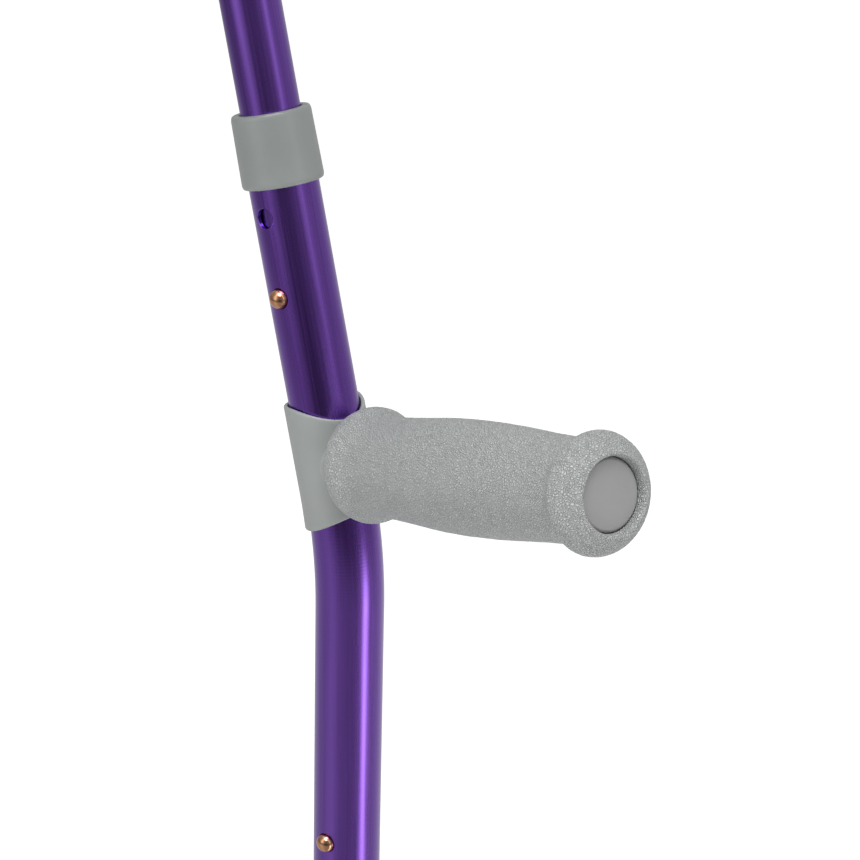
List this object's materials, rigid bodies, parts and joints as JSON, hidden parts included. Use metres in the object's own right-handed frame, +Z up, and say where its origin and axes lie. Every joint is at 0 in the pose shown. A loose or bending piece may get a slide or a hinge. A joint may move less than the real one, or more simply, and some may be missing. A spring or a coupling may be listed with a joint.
{
  "type": "forearm crutch",
  "caption": "Adjustable forearm crutch: bent anodised tube, angled soft grip, pivoting arm cuff on a sliding upper tube, telescoping leg with a rubber tip.",
  "frame": {"origin": "centre of the rubber tip's ground face, on the lower shaft's axis", "axes": "+Z up along the lower shaft; +X the way the hand grip points, tilted up by the lean of the upper tube; the upper tube leans to -X; X-Z is the plane of the bend; snap buttons face the -Y side"},
  "size_m": [0.2178, 0.1052, 0.9874],
  "materials": {
    "anodised_tube": "purple anodised, semi-gloss",
    "grey_plastic": "satin moulded plastic",
    "cuff_plastic": "satin moulded plastic, slightly flexible",
    "coated_bracket": "grey powder coat",
    "soft_grip": "soft vinyl with a fine leather grain",
    "grey_rubber": "matt rubber",
    "copper_button": "polished copper-coloured metal",
    "spring_steel": "plain spring steel",
    "steel": "zinc-plated steel",
    "nylon": "natural nylon"
  },
  "bodies": {
    "shaft": {"main_tube": "anodised_tube", "upper_collar": "grey_plastic", "lower_collar": "grey_plastic", "handle_saddle": "coated_bracket", "handle_bolt": "steel", "handle_washer": "steel", "handle_nut": "steel", "grip_sleeve": "soft_grip", "grip_end_plug": "grey_plastic"},
    "cuff_tube": {"upper_tube": "anodised_tube", "upper_snap_spring": "spring_steel", "cuff_bracket": "grey_plastic", "cuff_pivot_pin": "steel", "cuff_bracket_rivet": "steel", "cuff_washer_left": "nylon", "cuff_washer_right": "nylon"},
    "cuff": {"cuff_shell": "cuff_plastic"},
    "upper_button": {"upper_snap_button": "copper_button"},
    "leg": {"leg_tube": "anodised_tube", "lower_snap_spring": "spring_steel", "rubber_tip": "grey_rubber", "tip_washer": "steel"},
    "lower_button": {"lower_snap_button": "copper_button"}
  },
  "joints": [
    {"name": "cuff_height", "type": "slide", "parent": "shaft", "child": "cuff_tube", "axis": [-0.304, 0, 0.9527], "range_m": [0, 0.0254], "deforming": ["upper_snap_button"]},
    {"name": "leg_length", "type": "slide", "parent": "shaft", "child": "leg", "axis": [0, 0, -1], "range_m": [0, 0.2286], "deforming": ["lower_snap_button"]},
    {"name": "cuff_tilt", "type": "hinge", "parent": "cuff_tube", "child": "cuff", "pos_m": [-0.05574, 0, 0.92644], "axis": [0, 1, 0], "range_deg": [-20, 20]},
    {"name": "upper_button_press", "type": "slide", "parent": "cuff_tube", "child": "upper_button", "axis": [-0.1654, 0.9848, -0.0528], "range_m": [0, 0.004], "stiffness_N_per_m": 1200, "springref_m": -0.002, "deforming": ["upper_snap_spring"]},
    {"name": "lower_button_press", "type": "slide", "parent": "leg", "child": "lower_button", "axis": [-0.2164, 0.9763, 0], "range_m": [0, 0.004], "stiffness_N_per_m": 1200, "springref_m": -0.002, "deforming": ["lower_snap_spring"]}
  ]
}
